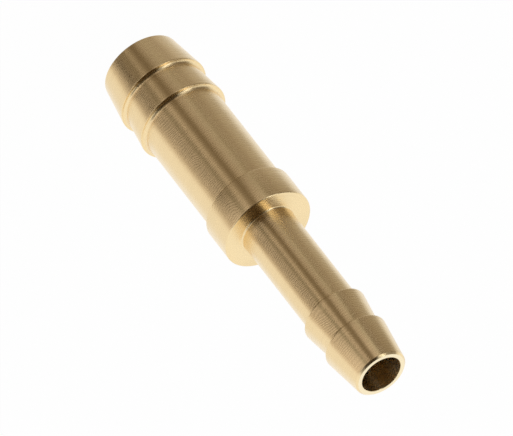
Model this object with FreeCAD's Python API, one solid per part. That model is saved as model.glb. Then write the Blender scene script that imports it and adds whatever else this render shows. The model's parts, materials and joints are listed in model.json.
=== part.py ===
import FreeCAD, Part
import math
import os

# A hose barb reducer turned from one brass bar and drilled from both ends. Sizes are in millimetres.
# It is round about Z. The large tail's end face lies at Z = 0 and the small tail points up.

# Large tail, for a hose of 9 mm bore
LARGE_TAIL_LENGTH = 21.6  # from its end face to the collar
LARGE_TIP_DIAMETER = 8.7
LARGE_SHANK_DIAMETER = 9.0  # behind the barbs, and at the foot of each barb
LARGE_CREST_DIAMETER = 10.0
LARGE_FIRST_CREST = 4.6  # from the end face to the back of the first crest
LARGE_BARB_PITCH = 3.95
LARGE_BARB_COUNT = 2
LARGE_TAIL_CHAMFER = 0.08  # at the end face

# Small tail, for a hose of 6 mm bore
SMALL_TAIL_LENGTH = 22.4
SMALL_TIP_DIAMETER = 5.8
SMALL_SHANK_DIAMETER = 6.0
SMALL_CREST_DIAMETER = 7.1
SMALL_FIRST_CREST = 5.1
SMALL_BARB_PITCH = 4.1
SMALL_BARB_COUNT = 2
SMALL_TAIL_CHAMFER = 0.2

# Each crest is a short cylinder between its lead-in cone and its square back
CREST_LAND = 0.2
CREST_CHAMFER = 0.05
BARB_ROOT_FILLET = 0.35

# Collar that stops both hoses
COLLAR_DIAMETER = 10.0
COLLAR_LENGTH = 4.0
COLLAR_LOWER_CHAMFER = 0.15
COLLAR_UPPER_CHAMFER = 0.08
SMALL_SHOULDER_FILLET = 0.2  # on the small tail's side; the other side's corner is sharp

# Bores: one drilled from each end, meeting in the cone that the larger drill's point leaves
LARGE_BORE_DIAMETER = 6.5
SMALL_BORE_DIAMETER = 4.5
SHOULDER_WALL = 2.5  # from the end of the large bore's straight wall to the collar's upper face
DRILL_POINT_ANGLE = 118.0
MOUTH_CHAMFER = 0.05

UPPER_SHOULDER = LARGE_TAIL_LENGTH + COLLAR_LENGTH
TOTAL_LENGTH = UPPER_SHOULDER + SMALL_TAIL_LENGTH


def tail_corners(tip_diameter, crest_diameter, shank_diameter, first_crest, pitch, count, chamfer):
    """Corners of a tail's outside as (radius, distance from its end face, fillet)."""
    tip, crest, shank = tip_diameter / 2, crest_diameter / 2, shank_diameter / 2
    corners = [(tip - chamfer, 0.0, 0.0), (tip, chamfer, 0.0)]
    for number in range(count):
        crest_back = first_crest + number * pitch
        corners += [
            (crest, crest_back - CREST_LAND, 0.0),
            (crest, crest_back - CREST_CHAMFER, 0.0),
            (crest - CREST_CHAMFER, crest_back, 0.0),
            (shank, crest_back, BARB_ROOT_FILLET),
        ]
    return corners


def collar_corners():
    """Corners of the collar and of its meeting with each shank, as (radius, height, fillet)."""
    collar = COLLAR_DIAMETER / 2
    return [
        (LARGE_SHANK_DIAMETER / 2, LARGE_TAIL_LENGTH, 0.0),
        (collar - COLLAR_LOWER_CHAMFER, LARGE_TAIL_LENGTH, 0.0),
        (collar, LARGE_TAIL_LENGTH + COLLAR_LOWER_CHAMFER, 0.0),
        (collar, UPPER_SHOULDER - COLLAR_UPPER_CHAMFER, 0.0),
        (collar - COLLAR_UPPER_CHAMFER, UPPER_SHOULDER, 0.0),
        (SMALL_SHANK_DIAMETER / 2, UPPER_SHOULDER, SMALL_SHOULDER_FILLET),
    ]


def outside_corners():
    """Corners of the outside from the large end up to the small end."""
    large = tail_corners(LARGE_TIP_DIAMETER, LARGE_CREST_DIAMETER, LARGE_SHANK_DIAMETER,
                         LARGE_FIRST_CREST, LARGE_BARB_PITCH, LARGE_BARB_COUNT, LARGE_TAIL_CHAMFER)
    small = tail_corners(SMALL_TIP_DIAMETER, SMALL_CREST_DIAMETER, SMALL_SHANK_DIAMETER,
                         SMALL_FIRST_CREST, SMALL_BARB_PITCH, SMALL_BARB_COUNT, SMALL_TAIL_CHAMFER)
    small_from_top = [(radius, TOTAL_LENGTH - distance, fillet) for radius, distance, fillet in small]
    return large + collar_corners() + small_from_top[::-1]


def bore_corners():
    """Corners of the stepped bore from the small end down to the large end."""
    large, small = LARGE_BORE_DIAMETER / 2, SMALL_BORE_DIAMETER / 2
    step = UPPER_SHOULDER - SHOULDER_WALL
    drill_point = (large - small) / math.tan(math.radians(DRILL_POINT_ANGLE / 2))
    return [
        (small + MOUTH_CHAMFER, TOTAL_LENGTH, 0.0),
        (small, TOTAL_LENGTH - MOUTH_CHAMFER, 0.0),
        (small, step + drill_point, 0.0),
        (large, step, 0.0),
        (large, MOUTH_CHAMFER, 0.0),
        (large + MOUTH_CHAMFER, 0.0, 0.0),
    ]


def fillet_arc(before, corner, after, fillet):
    """Start, middle and end of the arc that fills a corner."""
    to_before = (before - corner).normalize()
    to_after = (after - corner).normalize()
    half_angle = to_before.getAngle(to_after) / 2
    reach = fillet / math.tan(half_angle)
    to_centre = (to_before + to_after).normalize()
    middle = corner + to_centre * (fillet / math.sin(half_angle) - fillet)
    return corner + to_before * reach, middle, corner + to_after * reach


def section_outline(corners):
    """Closed outline in the XZ plane through the corners, with a tangent arc at each filleted one."""
    points = [FreeCAD.Vector(radius, 0, height) for radius, height, _ in corners]
    turns = []
    for number, (_, _, fillet) in enumerate(corners):
        corner, following = points[number], points[(number + 1) % len(points)]
        turns.append(fillet_arc(points[number - 1], corner, following, fillet) if fillet else (corner,))
    edges = []
    for number, turn in enumerate(turns):
        if len(turn) > 1:
            edges.append(Part.Arc(*turn).toShape())
        following = turns[(number + 1) % len(turns)]
        edges.append(Part.LineSegment(turn[-1], following[0]).toShape())
    return Part.Wire(edges)


def hose_barb_reducer():
    """The turned and drilled body: half its section, revolved about Z."""
    half_section = Part.Face(section_outline(outside_corners() + bore_corners()))
    return half_section.revolve(FreeCAD.Vector(0, 0, 0), FreeCAD.Vector(0, 0, 1), 360)


def main():
    os.makedirs("parts", exist_ok=True)
    body = hose_barb_reducer()
    body.exportStep("parts/hose_barb_reducer.step")
    print("hose_barb_reducer:", body.ShapeType, "valid" if body.isValid() else "not valid",
          f"{len(body.Faces)} faces, {body.Volume:.1f} cubic mm, {body.BoundBox.ZLength:.2f} mm long")


main()
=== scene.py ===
import bpy
import json
import math
from mathutils import Matrix, Vector


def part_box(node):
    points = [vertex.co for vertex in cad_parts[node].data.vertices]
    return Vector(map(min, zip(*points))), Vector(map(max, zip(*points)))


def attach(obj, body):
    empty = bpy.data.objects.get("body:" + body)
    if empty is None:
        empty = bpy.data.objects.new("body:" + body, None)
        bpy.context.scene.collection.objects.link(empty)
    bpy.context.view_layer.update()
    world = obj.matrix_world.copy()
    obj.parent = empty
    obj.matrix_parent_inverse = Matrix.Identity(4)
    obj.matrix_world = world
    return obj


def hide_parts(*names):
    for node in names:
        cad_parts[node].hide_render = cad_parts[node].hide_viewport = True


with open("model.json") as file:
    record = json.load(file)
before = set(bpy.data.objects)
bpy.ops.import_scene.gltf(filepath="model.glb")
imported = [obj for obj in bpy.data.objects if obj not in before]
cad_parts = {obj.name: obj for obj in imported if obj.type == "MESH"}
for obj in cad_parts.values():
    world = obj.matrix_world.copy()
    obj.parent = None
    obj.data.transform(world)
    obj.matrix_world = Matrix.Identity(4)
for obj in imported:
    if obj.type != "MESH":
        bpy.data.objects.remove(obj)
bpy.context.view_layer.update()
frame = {"record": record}

# A hose barb reducer turned from one brass bar. It stands on its large end, with the bore along Z.
# Lengths here are in millimetres, and MM turns them into the frame's metres.
MM = 0.001
NODE = "hose_barb_reducer"

# What the frame gives
mounts = {mount["name"]: mount for mount in frame["record"]["mounts"]}
LARGE_CREST = mounts["large_hose_tail"]["dims"]["r_mm"]
SMALL_CREST = mounts["small_hose_tail"]["dims"]["r_mm"]
LARGE_BORE = mounts["large_bore"]["dims"]["r_mm"]
SMALL_BORE = mounts["small_bore"]["dims"]["r_mm"]
COLLAR_FOOT = mounts["large_hose_stop"]["pos_m"][2] / MM
COLLAR_TOP = mounts["small_hose_stop"]["pos_m"][2] / MM
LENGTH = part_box(NODE)[1].z / MM

# The tails: radii, and lengths measured from each tail's own end face
LARGE_TIP = 4.35
LARGE_SHANK = 4.5
LARGE_FIRST_CREST = 4.6
LARGE_PITCH = 3.95
LARGE_TIP_CHAMFER = 0.08
SMALL_TIP = 2.9
SMALL_SHANK = 3.0
SMALL_FIRST_CREST = 5.1
SMALL_PITCH = 4.1
SMALL_TIP_CHAMFER = 0.2
BARBS = 2
CREST_LAND = 0.2

# The collar, and the bore, which widens SHOULDER_WALL below the collar's top
COLLAR_RADIUS = 5.0
SHOULDER_WALL = 2.5
BORE_STEP = COLLAR_TOP - SHOULDER_WALL
DRILL_HALF_ANGLE = math.radians(59)
MOUTH_CHAMFER = 0.04

# How far each kind of corner is eased, along both of its sides
LARGE_CREST_EASE = 0.05
SMALL_CREST_EASE = 0.1
ROOT_FILLET = 0.42
SHOULDER_FILLET = 0.2
COLLAR_FOOT_EASE = 0.15
COLLAR_TOP_EASE = 0.12
CHAMFER_EASE = 0.015
SHARP = 0.0
EASE_STEPS = 5

# How the section is turned, and how near two points are when they count as one
TURN_STEPS = 256
SAME_CORNER = 0.001
SAME_POINT = 0.0005
SMOOTH_ANGLE = math.radians(30)
FULL_WEIGHT = 100


def add_square(size, height):
    """Adds a level square in the middle, with nothing else selected."""
    bpy.ops.object.select_all(action="DESELECT")
    bpy.ops.mesh.primitive_plane_add(size=size * MM, location=(0, 0, height * MM))
    return bpy.context.object


def tail_corners(tip, crest, shank, first_crest, pitch, chamfer, crest_ease):
    """A tail's outside as (radius, distance from its end face, ease)."""
    corners = [(tip - chamfer, 0, CHAMFER_EASE), (tip, chamfer, CHAMFER_EASE)]
    for barb in range(BARBS):
        back = first_crest + barb * pitch
        corners.append((crest, back - CREST_LAND, SHARP))
        corners.append((crest, back, crest_ease))
        corners.append((shank, back, ROOT_FILLET))
    return corners


def section_corners():
    """The half section's corners: up the outside, then down through the stepped bore."""
    large = tail_corners(LARGE_TIP, LARGE_CREST, LARGE_SHANK, LARGE_FIRST_CREST, LARGE_PITCH,
                         LARGE_TIP_CHAMFER, LARGE_CREST_EASE)
    small = tail_corners(SMALL_TIP, SMALL_CREST, SMALL_SHANK, SMALL_FIRST_CREST, SMALL_PITCH,
                         SMALL_TIP_CHAMFER, SMALL_CREST_EASE)
    small_from_top = [(radius, LENGTH - distance, ease) for radius, distance, ease in small]
    collar = [
        (LARGE_SHANK, COLLAR_FOOT, SHARP),
        (COLLAR_RADIUS, COLLAR_FOOT, COLLAR_FOOT_EASE),
        (COLLAR_RADIUS, COLLAR_TOP, COLLAR_TOP_EASE),
        (SMALL_SHANK, COLLAR_TOP, SHOULDER_FILLET),
    ]
    drill_point = (LARGE_BORE - SMALL_BORE) / math.tan(DRILL_HALF_ANGLE)
    bore = [
        (SMALL_BORE + MOUTH_CHAMFER, LENGTH, CHAMFER_EASE),
        (SMALL_BORE, LENGTH - MOUTH_CHAMFER, CHAMFER_EASE),
        (SMALL_BORE, BORE_STEP + drill_point, SHARP),
        (LARGE_BORE, BORE_STEP, SHARP),
        (LARGE_BORE, MOUTH_CHAMFER, CHAMFER_EASE),
        (LARGE_BORE + MOUTH_CHAMFER, 0, CHAMFER_EASE),
    ]
    return large + collar + small_from_top[::-1] + bore


def draw_section(corners):
    """Draws the closed half section in the XZ plane, one vertex extruded from corner to corner."""
    piece = add_square(size=1, height=0)
    bpy.ops.object.mode_set(mode="EDIT")
    bpy.ops.mesh.select_all(action="SELECT")
    bpy.ops.mesh.merge(type="CENTER")
    radius, height, _ = corners[0]
    bpy.ops.transform.translate(value=(radius * MM, 0, height * MM))
    for before, after in zip(corners, corners[1:]):
        step = ((after[0] - before[0]) * MM, 0, (after[1] - before[1]) * MM)
        bpy.ops.mesh.extrude_vertices_move(TRANSFORM_OT_translate={"value": step})
    bpy.ops.mesh.select_all(action="DESELECT")
    bpy.ops.object.mode_set(mode="OBJECT")
    for end in (0, len(corners) - 1):
        piece.data.vertices[end].select = True
    bpy.ops.object.mode_set(mode="EDIT")
    bpy.ops.mesh.edge_face_add()
    bpy.ops.object.mode_set(mode="OBJECT")
    return piece


def ease_corners(piece, corners):
    """Rounds the section's corners, one size of ease after the other."""
    for ease in sorted({corner[2] for corner in corners} - {SHARP}):
        places = []
        for radius, height, size in corners:
            if size == ease:
                places.append(Vector((radius * MM, 0, height * MM)))
        for vertex in piece.data.vertices:
            vertex.select = any((vertex.co - place).length < SAME_CORNER * MM for place in places)
        bpy.ops.object.mode_set(mode="EDIT")
        bpy.ops.mesh.bevel(offset_type="OFFSET", offset=ease * MM, segments=EASE_STEPS,
                           affect="VERTICES")
        bpy.ops.mesh.select_all(action="DESELECT")
        bpy.ops.object.mode_set(mode="OBJECT")


def turn(piece):
    """Turns the section about Z into the whole body, closed and with its faces outwards."""
    bpy.ops.object.mode_set(mode="EDIT")
    bpy.ops.mesh.select_all(action="SELECT")
    bpy.ops.mesh.spin(steps=TURN_STEPS, angle=math.tau, center=(0, 0, 0), axis=(0, 0, 1))
    bpy.ops.mesh.select_all(action="SELECT")
    bpy.ops.mesh.remove_doubles(threshold=SAME_POINT * MM)
    bpy.ops.mesh.normals_make_consistent(inside=False)
    bpy.ops.object.mode_set(mode="OBJECT")
    bpy.ops.object.shade_smooth_by_angle(angle=SMOOTH_ANGLE)
    bpy.ops.object.modifier_add(type="WEIGHTED_NORMAL")
    weighted = piece.modifiers[-1]
    weighted.weight = FULL_WEIGHT
    weighted.keep_sharp = True
    bpy.ops.object.modifier_apply(modifier=weighted.name)


def turned_body():
    """The whole fitting, in one piece."""
    corners = section_corners()
    piece = draw_section(corners)
    piece.name = "reducer_body"
    ease_corners(piece, corners)
    turn(piece)
    piece.data.materials.clear()
    piece.data.materials.append(turned_brass())
    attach(piece, "root")
    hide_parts(NODE)


# Where a Mix node has its share, its two colours and its result
MIX_SHARE = 0
MIX_FIRST = 6
MIX_SECOND = 7
MIX_RESULT = 2


def add_node(tree, kind, inputs, **settings):
    """A shader node with its settings, and its inputs linked to a socket or given a value."""
    made = tree.nodes.new(kind)
    for name, value in settings.items():
        setattr(made, name, value)
    for name, value in inputs.items():
        if isinstance(value, bpy.types.NodeSocket):
            tree.links.new(value, made.inputs[name])
        else:
            made.inputs[name].default_value = value
    return made


def calculate(tree, operation, first, second=0.0, third=0.0):
    """One sum on sockets or numbers."""
    made = add_node(tree, "ShaderNodeMath", {0: first, 1: second, 2: third}, operation=operation)
    return made.outputs[0]


def rise(tree, value, start, end):
    """0 before the start, 1 past the end, and a soft rise between them."""
    ramp = add_node(tree, "ShaderNodeMapRange", {"Value": value, "From Min": start, "From Max": end},
                    interpolation_type="SMOOTHSTEP")
    return ramp.outputs["Result"]


def mix(tree, share, first, second):
    """A colour between two colours."""
    inputs = {MIX_SHARE: share, MIX_FIRST: first, MIX_SECOND: second}
    return add_node(tree, "ShaderNodeMix", inputs, data_type="RGBA").outputs[MIX_RESULT]


def noise(tree, vector, scale):
    """Noise about 0.5."""
    return add_node(tree, "ShaderNodeTexNoise", {"Vector": vector, "Scale": scale}).outputs["Fac"]


# The lathe's marks, in millimetres, and how many scratches lie end to end in a turn
FEED = 0.27
FEED_DEPTH = 0.0022
FEED_WANDER = 2.0
WANDER_SIZE = 3.0
SCRATCH_WIDTH = 0.12
SCRATCH_DEPTH = 0.0032
SCRATCHES_PER_TURN = 6
CLOUD = 2.2
FACE_DEPTH = 0.015
BORE_MARGIN = 0.02

# The metal's colours, and how far the feed marks pull it to the dull one and back. The paler colour
# on the end face is a painted highlight.
BRASS = (0.95, 0.74, 0.425, 1)
DULL_BRASS = (0.86, 0.67, 0.385, 1)
FACE_HIGHLIGHT_BRASS = (0.92, 0.78, 0.53, 1)
FEED_SHADE = 0.1

# Roughness: the outside's, what scratches add to it, and the share left in the bore and on the face
SATIN = 0.21
SCRATCHED = 0.12
BORED_SHARE = 0.85
FACED_SHARE = 0.45

# How far the marks draw the gloss out, and the quarter turn that lays it across them
BRUSHED = 0.95
QUARTER_TURN = 0.25


def turned_places(tree, place):
    """A point's radius and height in millimetres, and its direction from the bore's middle."""
    apart = add_node(tree, "ShaderNodeSeparateXYZ", {0: place})
    flat = add_node(tree, "ShaderNodeCombineXYZ", {0: apart.outputs["X"], 1: apart.outputs["Y"]})
    outwards = add_node(tree, "ShaderNodeVectorMath", {0: flat.outputs[0]}, operation="LENGTH")
    direction = add_node(tree, "ShaderNodeVectorMath", {0: flat.outputs[0]}, operation="NORMALIZE")
    radius = calculate(tree, "DIVIDE", outwards.outputs["Value"], MM)
    height = calculate(tree, "DIVIDE", apart.outputs["Z"], MM)
    return radius, height, direction.outputs[0]


def worked_places(tree, radius, height):
    """Masks of the small end's face and of the bore's wall."""
    face_finish_and_highlight = rise(tree, height, LENGTH - FACE_DEPTH, LENGTH)
    step = rise(tree, height, BORE_STEP, COLLAR_TOP)
    wall = calculate(tree, "MULTIPLY_ADD", step, SMALL_BORE - LARGE_BORE, LARGE_BORE + BORE_MARGIN)
    bored = calculate(tree, "LESS_THAN", radius, wall)
    return face_finish_and_highlight, bored


def scratch_marks(tree, direction, along):
    """Fine scratches round the bore, as noise that is long round it and short along the outline."""
    apart = add_node(tree, "ShaderNodeSeparateXYZ", {0: direction})
    drawn_out = add_node(tree, "ShaderNodeCombineXYZ", {
        0: calculate(tree, "MULTIPLY", apart.outputs["X"], SCRATCHES_PER_TURN / math.tau),
        1: calculate(tree, "MULTIPLY", apart.outputs["Y"], SCRATCHES_PER_TURN / math.tau),
        2: calculate(tree, "DIVIDE", along, SCRATCH_WIDTH),
    })
    return noise(tree, drawn_out.outputs[0], 1.0)


def feed_marks(tree, place, along):
    """The tool's feed marks, as a wave between -1 and 1 that wanders a little."""
    waver = noise(tree, place, 1 / (WANDER_SIZE * MM))
    wander = calculate(tree, "MULTIPLY_ADD", waver, FEED_WANDER, along)
    return calculate(tree, "SINE", calculate(tree, "MULTIPLY", wander, math.tau / FEED))


def turned_brass():
    """Satin brass as it comes from the lathe, with a smoother bore and a smoother end face, whose
    paler colour is a painted highlight.
    """
    material = bpy.data.materials.new("turned_brass")
    material.use_nodes = True
    tree = material.node_tree
    shader = tree.nodes["Principled BSDF"]
    place = add_node(tree, "ShaderNodeTexCoord", {}).outputs["Object"]
    radius, height, direction = turned_places(tree, place)
    face_finish_and_highlight, bored = worked_places(tree, radius, height)
    along = calculate(tree, "ADD", radius, height)
    scratches = scratch_marks(tree, direction, along)
    feed = feed_marks(tree, place, along)
    clouds = noise(tree, place, 1 / (CLOUD * MM))

    feed_relief = calculate(tree, "MULTIPLY", feed, FEED_DEPTH)
    relief = calculate(tree, "MULTIPLY_ADD", scratches, SCRATCH_DEPTH, feed_relief)
    bump = add_node(tree, "ShaderNodeBump", {"Height": relief, "Strength": 1.0, "Distance": MM})
    tree.links.new(bump.outputs["Normal"], shader.inputs["Normal"])

    dull = calculate(tree, "MULTIPLY", calculate(tree, "ADD", clouds, scratches), 0.5)
    dull = calculate(tree, "MULTIPLY_ADD", feed, FEED_SHADE, dull)
    # The end face takes a paler colour here: a painted highlight.
    colour = mix(tree, face_finish_and_highlight, mix(tree, dull, BRASS, DULL_BRASS), FACE_HIGHLIGHT_BRASS)
    tree.links.new(colour, shader.inputs["Base Color"])

    satin = calculate(tree, "MULTIPLY_ADD", scratches, SCRATCHED, SATIN)
    share = calculate(tree, "MULTIPLY_ADD", bored, BORED_SHARE - 1, 1.0)
    share = calculate(tree, "MULTIPLY_ADD", face_finish_and_highlight, FACED_SHARE - 1, share)
    tree.links.new(calculate(tree, "MULTIPLY", satin, share), shader.inputs["Roughness"])

    shader.inputs["Metallic"].default_value = 1.0
    shader.inputs["Anisotropic"].default_value = BRUSHED
    shader.inputs["Anisotropic Rotation"].default_value = QUARTER_TURN
    tangent = add_node(tree, "ShaderNodeTangent", {}, direction_type="RADIAL", axis="Z")
    tree.links.new(tangent.outputs["Tangent"], shader.inputs["Tangent"])
    return material


# The floor lies just under the part's foot. PAPER_SHARE of it is lit paper that takes the shadow.
FLOOR_DROP = 0.03
FLOOR_REACH = 2000
PAPER_SHARE = 0.02
FLOOR_WHITE = (1, 1, 1, 1)


def stage_floor():
    """White floor that the part stands on, with the part's soft shadow.

    The brass doesn't show it, because the light tent gives what the brass reflects from below.
    """
    floor = add_square(size=2 * FLOOR_REACH, height=-FLOOR_DROP)
    floor.name = "floor"
    material = bpy.data.materials.new("white_floor")
    material.use_nodes = True
    tree = material.node_tree
    tree.nodes.clear()
    paper = add_node(tree, "ShaderNodeBsdfDiffuse", {"Color": FLOOR_WHITE})
    white = add_node(tree, "ShaderNodeEmission", {"Color": FLOOR_WHITE, "Strength": 1.0})
    ray = add_node(tree, "ShaderNodeLightPath", {})
    seen = calculate(tree, "MAXIMUM", ray.outputs["Is Camera Ray"], ray.outputs["Is Glossy Ray"])
    seen = calculate(tree, "MAXIMUM", seen, ray.outputs["Is Transmission Ray"])
    glow = calculate(tree, "MULTIPLY", seen, 1 - PAPER_SHARE)
    mixed = add_node(tree, "ShaderNodeMixShader", {0: glow, 1: paper.outputs[0], 2: white.outputs[0]})
    add_node(tree, "ShaderNodeOutputMaterial", {"Surface": mixed.outputs[0]})
    floor.data.materials.append(material)
    floor.visible_glossy = False


# The rings' colours, from the lightest to the darkest
BLUE_WHITE = (1.03, 1.09, 1.22, 1)
WHITE = (0.97, 0.97, 0.97, 1)
PINK_WHITE = (0.97, 0.87, 0.82, 1)
DULL_WHITE = (0.86, 0.88, 0.93, 1)
CREAM = (0.93, 0.87, 0.76, 1)
PALE_PINK = (0.7, 0.62, 0.57, 1)
HALF_WHITE = (0.57, 0.53, 0.47, 1)
PALE_TAN = (0.5, 0.46, 0.4, 1)
LIGHT_TAN = (0.37, 0.32, 0.265, 1)
TAN = (0.3, 0.255, 0.195, 1)
DEEP_TAN = (0.255, 0.21, 0.157, 1)
DARK_TAN = (0.205, 0.162, 0.124, 1)
DIM_TAN = (0.1, 0.078, 0.05, 1)
BROWN = (0.105, 0.07, 0.03, 1)
DIM_BROWN = (0.05, 0.035, 0.012, 1)

# What the brass reflects from below the tent: rings round the part, as (degrees, colour).
# 0 degrees is the camera's side, and 90 is the side of +X.
HORIZON_RING = [
    (-180, BLUE_WHITE), (-134, WHITE), (-122, HALF_WHITE), (-108, TAN), (-90, DARK_TAN),
    (-52, DARK_TAN), (-40, HALF_WHITE), (-23, PALE_PINK), (-15, DARK_TAN), (10, DARK_TAN),
    (20, HALF_WHITE), (60, PINK_WHITE), (90, WHITE), (122, BLUE_WHITE), (180, BLUE_WHITE),
]
FAR_RING = [
    (-180, BLUE_WHITE), (-152, DULL_WHITE), (-130, DULL_WHITE), (-120, HALF_WHITE), (-107, TAN),
    (-76, TAN), (-60, DARK_TAN), (-52, BROWN), (-48, BROWN), (-40, HALF_WHITE), (-24, PALE_PINK),
    (-12, TAN), (-4, TAN), (5, PINK_WHITE), (12, PINK_WHITE), (17, HALF_WHITE), (21, PALE_TAN),
    (28, PINK_WHITE), (50, PINK_WHITE), (63, PALE_PINK), (70, PALE_PINK), (79, WHITE),
    (108, WHITE), (122, BLUE_WHITE), (180, BLUE_WHITE),
]
NEAR_RING = [
    (-180, BLUE_WHITE), (-152, BLUE_WHITE), (-128, DULL_WHITE), (-112, HALF_WHITE),
    (-97, PALE_TAN), (-78, LIGHT_TAN), (-62, LIGHT_TAN), (-50, TAN), (-42, DARK_TAN),
    (-32, DARK_TAN), (-26, BROWN), (-13, BROWN), (-8, DARK_TAN), (3, TAN), (9, TAN),
    (14, DIM_TAN), (34, DIM_TAN), (40, DIM_BROWN), (60, DIM_BROWN), (67, TAN), (78, WHITE),
    (120, WHITE), (150, BLUE_WHITE), (180, BLUE_WHITE),
]
STEEP_RING = [
    (-180, CREAM), (-160, WHITE), (-138, WHITE), (-121, DULL_WHITE), (-110, PALE_PINK),
    (-99, HALF_WHITE), (-84, LIGHT_TAN), (-70, PALE_TAN), (-50, PALE_TAN), (-32, LIGHT_TAN),
    (-24, TAN), (-13, DARK_TAN), (-8, DEEP_TAN), (3, LIGHT_TAN), (10, LIGHT_TAN),
    (17, DEEP_TAN), (30, DEEP_TAN), (37, DARK_TAN), (43, DIM_BROWN), (54, DIM_BROWN),
    (62, TAN), (70, PALE_PINK), (84, CREAM), (115, WHITE), (150, WHITE), (180, CREAM),
]
# Each lower ring, with the heights in degrees between which it takes over from the one above,
# and the same for what lies straight under the part
LOWER_RINGS = [(FAR_RING, -8, -15), (NEAR_RING, -24, -31), (STEEP_RING, -42, -50)]
UNDER_PART = (-64, -74)

# The tent's hem, where the rings begin: each pair is the degrees between which it fades.
# It is high between its left and right ends, and low everywhere else.
HIGH_HEM = (18, 4)
HIGH_HEM_LEFT = (-132, -110)
HIGH_HEM_RIGHT = (80, 70)
LOW_HEM = (1, -1)

# Ovals on the tent's wall: centre and reach in degrees across and over, and the edge's softness.
# An OVAL_POWER of 2 would be an ellipse, and 3 is fuller.
CAMERA_OPENING = ((-2, 18), (34, 36), 0.12)
RIGHT_OPENING = ((28, 54), (24, 24), 0.25)
UPPER_OPENING = ((-1.5, 70), (21.5, 42), 0.15)
DARK_SIDE = ((-64, 88), (26, 52), 0.2)
LAMP = ((-33, 79), (5.5, 10), 0.3)
OVAL_POWER = 3.0

# The tent's wall, its dark side, its lamp and the dark behind its openings
TENT_WHITE = (1.03, 1.05, 1.06, 1)
TENT_SIDE = (0.16, 0.13, 0.095, 1)
TENT_LAMP = (3.2, 3.25, 3.3, 1)
TENT_DARK = (0.035, 0.025, 0.014, 1)


def oval(tree, across, over, shape):
    """1 inside an oval on the tent's wall, 0 outside it, with a soft edge."""
    centre, reach, softness = shape
    powers = []
    for place, middle, half in zip((across, over), centre, reach):
        part = calculate(tree, "DIVIDE", calculate(tree, "SUBTRACT", place, middle), half)
        powers.append(calculate(tree, "POWER", calculate(tree, "ABSOLUTE", part), OVAL_POWER))
    outwards = calculate(tree, "POWER", calculate(tree, "ADD", *powers), 1 / OVAL_POWER)
    return rise(tree, outwards, 1 + softness, 1 - softness)


def tent_wall(tree, across, over):
    """The tent above its hem: white, with a dark side, a small lamp and dark openings."""
    wall = mix(tree, oval(tree, across, over, DARK_SIDE), TENT_WHITE, TENT_SIDE)
    wall = mix(tree, oval(tree, across, over, LAMP), wall, TENT_LAMP)
    opening = oval(tree, across, over, CAMERA_OPENING)
    for shape in (RIGHT_OPENING, UPPER_OPENING):
        opening = calculate(tree, "MAXIMUM", opening, oval(tree, across, over, shape))
    return mix(tree, opening, wall, TENT_DARK)


def ring_colour(tree, round_part, stops):
    """One ring's colour. The ramp runs once round the part, from -180 to 180 degrees."""
    share = calculate(tree, "MULTIPLY_ADD", round_part, 1 / 360, 0.5)
    ramp = add_node(tree, "ShaderNodeValToRGB", {"Fac": share})
    elements = ramp.color_ramp.elements
    while len(elements) > 1:
        elements.remove(elements[-1])
    elements[0].position = 0
    elements[0].color = stops[0][1]
    for angle, colour in stops[1:]:
        elements.new(angle / 360 + 0.5).color = colour
    return ramp.outputs["Color"]


def rings(tree, round_part, up):
    """The rings, each below the one before, and what lies straight under the part."""
    seen = ring_colour(tree, round_part, HORIZON_RING)
    for stops, top, foot in LOWER_RINGS:
        seen = mix(tree, rise(tree, up, top, foot), seen, ring_colour(tree, round_part, stops))
    return mix(tree, rise(tree, up, *UNDER_PART), seen, DIM_TAN)


def below_hem(tree, round_part, up):
    """0 on the tent, and 1 where the rings take over below its hem."""
    left_end = rise(tree, round_part, *HIGH_HEM_LEFT)
    right_end = rise(tree, round_part, *HIGH_HEM_RIGHT)
    ends = calculate(tree, "MULTIPLY", left_end, right_end)
    high = calculate(tree, "MULTIPLY", rise(tree, up, *HIGH_HEM), ends)
    return calculate(tree, "MAXIMUM", high, rise(tree, up, *LOW_HEM))


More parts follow.
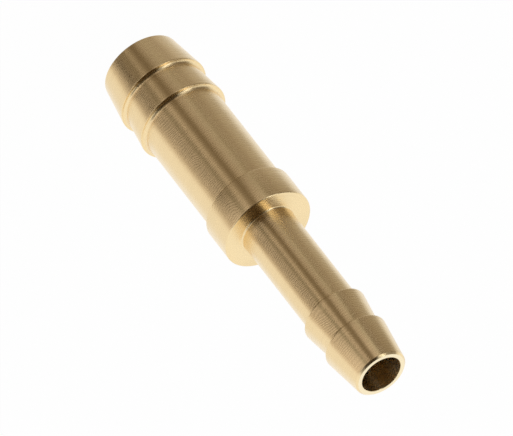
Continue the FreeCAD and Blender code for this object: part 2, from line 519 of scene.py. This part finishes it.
def light_tent():
    """All that the brass shows: a white tent with dark openings, over the rings."""
    world = bpy.data.worlds.new("light_tent")
    bpy.context.scene.world = world
    world.use_nodes = True
    tree = world.node_tree
    direction = add_node(tree, "ShaderNodeTexCoord", {}).outputs["Generated"]
    toward = add_node(tree, "ShaderNodeSeparateXYZ", {0: direction})
    front = calculate(tree, "MULTIPLY", toward.outputs["Y"], -1.0)
    across = calculate(tree, "DEGREES", calculate(tree, "ARCSINE", toward.outputs["X"]))
    over = calculate(tree, "DEGREES", calculate(tree, "ARCTAN2", toward.outputs["Z"], front))
    round_part = calculate(tree, "DEGREES", calculate(tree, "ARCTAN2", toward.outputs["X"], front))
    up = calculate(tree, "DEGREES", calculate(tree, "ARCSINE", toward.outputs["Z"]))
    wall = tent_wall(tree, across, over)
    seen = mix(tree, below_hem(tree, round_part, up), wall, rings(tree, round_part, up))
    tree.links.new(seen, tree.nodes["Background"].inputs["Color"])


# The camera looks down from above the small end. It is rolled so that this end points down to the
# right, BORE_SLOPE below level. VIEW_WIDTH is the width that it sees, and TARGET the view's middle.
CAMERA_ELEVATION = math.radians(34.4)
BORE_SLOPE = math.radians(52)
VIEW_WIDTH = 52.12
TARGET = Vector((0.215, 0, 23.6))
LENS = 900
SENSOR = 36
NEAREST = 100
FARTHEST = 10000


def photo_camera():
    """The camera at the photograph's angle, far off behind a long lens."""
    toward = Vector((0, -math.cos(CAMERA_ELEVATION), math.sin(CAMERA_ELEVATION)))
    upright = Vector((0, math.sin(CAMERA_ELEVATION), math.cos(CAMERA_ELEVATION)))
    sideways = Vector((1, 0, 0))
    right = math.cos(BORE_SLOPE) * upright - math.sin(BORE_SLOPE) * sideways
    up = -math.sin(BORE_SLOPE) * upright - math.cos(BORE_SLOPE) * sideways
    data = bpy.data.cameras.new("camera")
    data.lens = LENS
    data.sensor_width = SENSOR
    data.clip_start = NEAREST * MM
    data.clip_end = FARTHEST * MM
    camera = bpy.data.objects.new("camera", data)
    bpy.context.scene.collection.objects.link(camera)
    distance = VIEW_WIDTH * LENS / SENSOR
    turned = Matrix((right, up, toward)).transposed().to_4x4()
    camera.matrix_world = Matrix.Translation((TARGET + toward * distance) * MM) @ turned
    bpy.context.scene.camera = camera


turned_body()
stage_floor()
light_tent()
photo_camera()
bpy.context.scene.view_settings.view_transform = "Standard"
